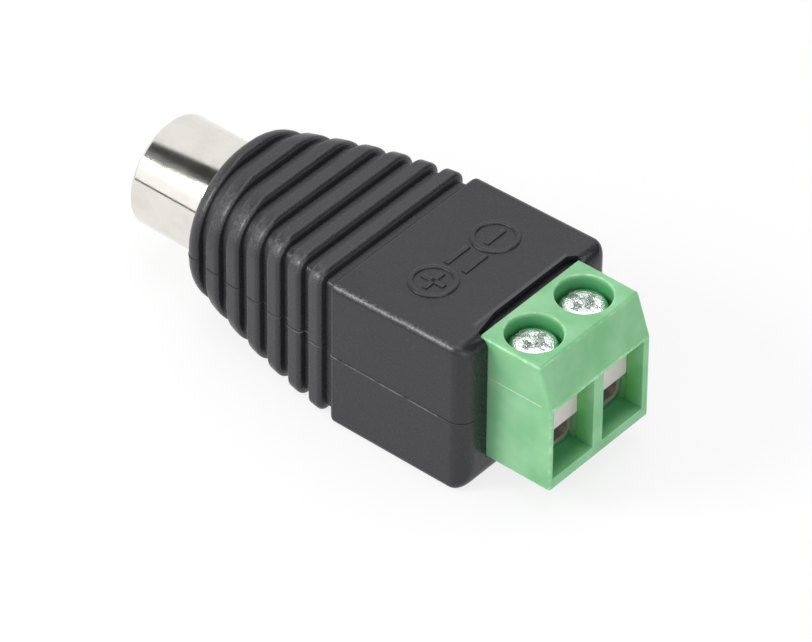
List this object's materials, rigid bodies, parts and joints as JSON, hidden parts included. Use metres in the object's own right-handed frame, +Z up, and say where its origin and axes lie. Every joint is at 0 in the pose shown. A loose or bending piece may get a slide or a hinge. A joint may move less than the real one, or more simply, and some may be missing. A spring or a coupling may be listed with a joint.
{
  "type": "in-line phono socket with screw terminal",
  "caption": "In-line phono socket: plated barrel in a ribbed overmoulded grip, wired to a green screw terminal block with rising clamp cages.",
  "frame": {"origin": "centre of the bounding box in plan, on the surface that the grip block stands on", "axes": "+X along the connector from the socket's mouth to the wire entries, +Y to the minus pole's side, +Z up to the screw heads"},
  "size_m": [0.0374, 0.015, 0.0122],
  "materials": {
    "overmould": "fine matte charcoal grain",
    "premould": "natural translucent polyethylene",
    "nickel": "brass, bright nickel plated",
    "insulator": "smooth white plastic",
    "contact_brass": "plated spring brass",
    "tinned": "tinned sheet brass",
    "green_plastic": "semi-gloss green moulding",
    "cage_steel": "zinc plated folded steel",
    "screw_zinc": "bright zinc plated",
    "copper": "bare copper wire",
    "sleeve_red": "soft red insulation",
    "sleeve_black": "soft black insulation",
    "solder": "bright solder"
  },
  "bodies": {
    "connector": {"overmould_body": "overmould", "inner_premould": "premould", "socket_barrel": "nickel", "socket_insulator": "insulator", "centre_contact": "contact_brass", "ground_lug": "tinned", "terminal_housing": "green_plastic", "contact_strip_plus": "tinned", "contact_strip_minus": "tinned", "lead_core_plus": "copper", "lead_core_minus": "copper", "lead_sleeve_plus": "sleeve_red", "lead_sleeve_minus": "sleeve_black", "solder_socket_plus": "solder", "solder_socket_minus": "solder", "solder_terminal_plus": "solder", "solder_terminal_minus": "solder"},
    "screw_plus": {"clamp_screw_plus": "screw_zinc"},
    "screw_minus": {"clamp_screw_minus": "screw_zinc"},
    "cage_plus": {"clamp_cage_plus": "cage_steel"},
    "cage_minus": {"clamp_cage_minus": "cage_steel"}
  },
  "joints": [
    {"name": "screw_plus_turn", "type": "hinge", "parent": "connector", "child": "screw_plus", "pos_m": [0.01507, -0.00254, 0.0105], "axis": [0, 0, 1], "range_deg": [-1284, 4]},
    {"name": "screw_minus_turn", "type": "hinge", "parent": "connector", "child": "screw_minus", "pos_m": [0.01507, 0.00254, 0.0105], "axis": [0, 0, 1], "range_deg": [-1284, 4]},
    {"name": "cage_plus_lift", "type": "slide", "parent": "connector", "child": "cage_plus", "axis": [0, 0, 1], "range_m": [0, 0.0016]},
    {"name": "cage_minus_lift", "type": "slide", "parent": "connector", "child": "cage_minus", "axis": [0, 0, 1], "range_m": [0, 0.0016]}
  ],
  "couplings": [
    {"joint": "screw_plus_turn", "follows": "cage_plus_lift", "rad_per_m": -13963},
    {"joint": "screw_minus_turn", "follows": "cage_minus_lift", "rad_per_m": -13963}
  ]
}
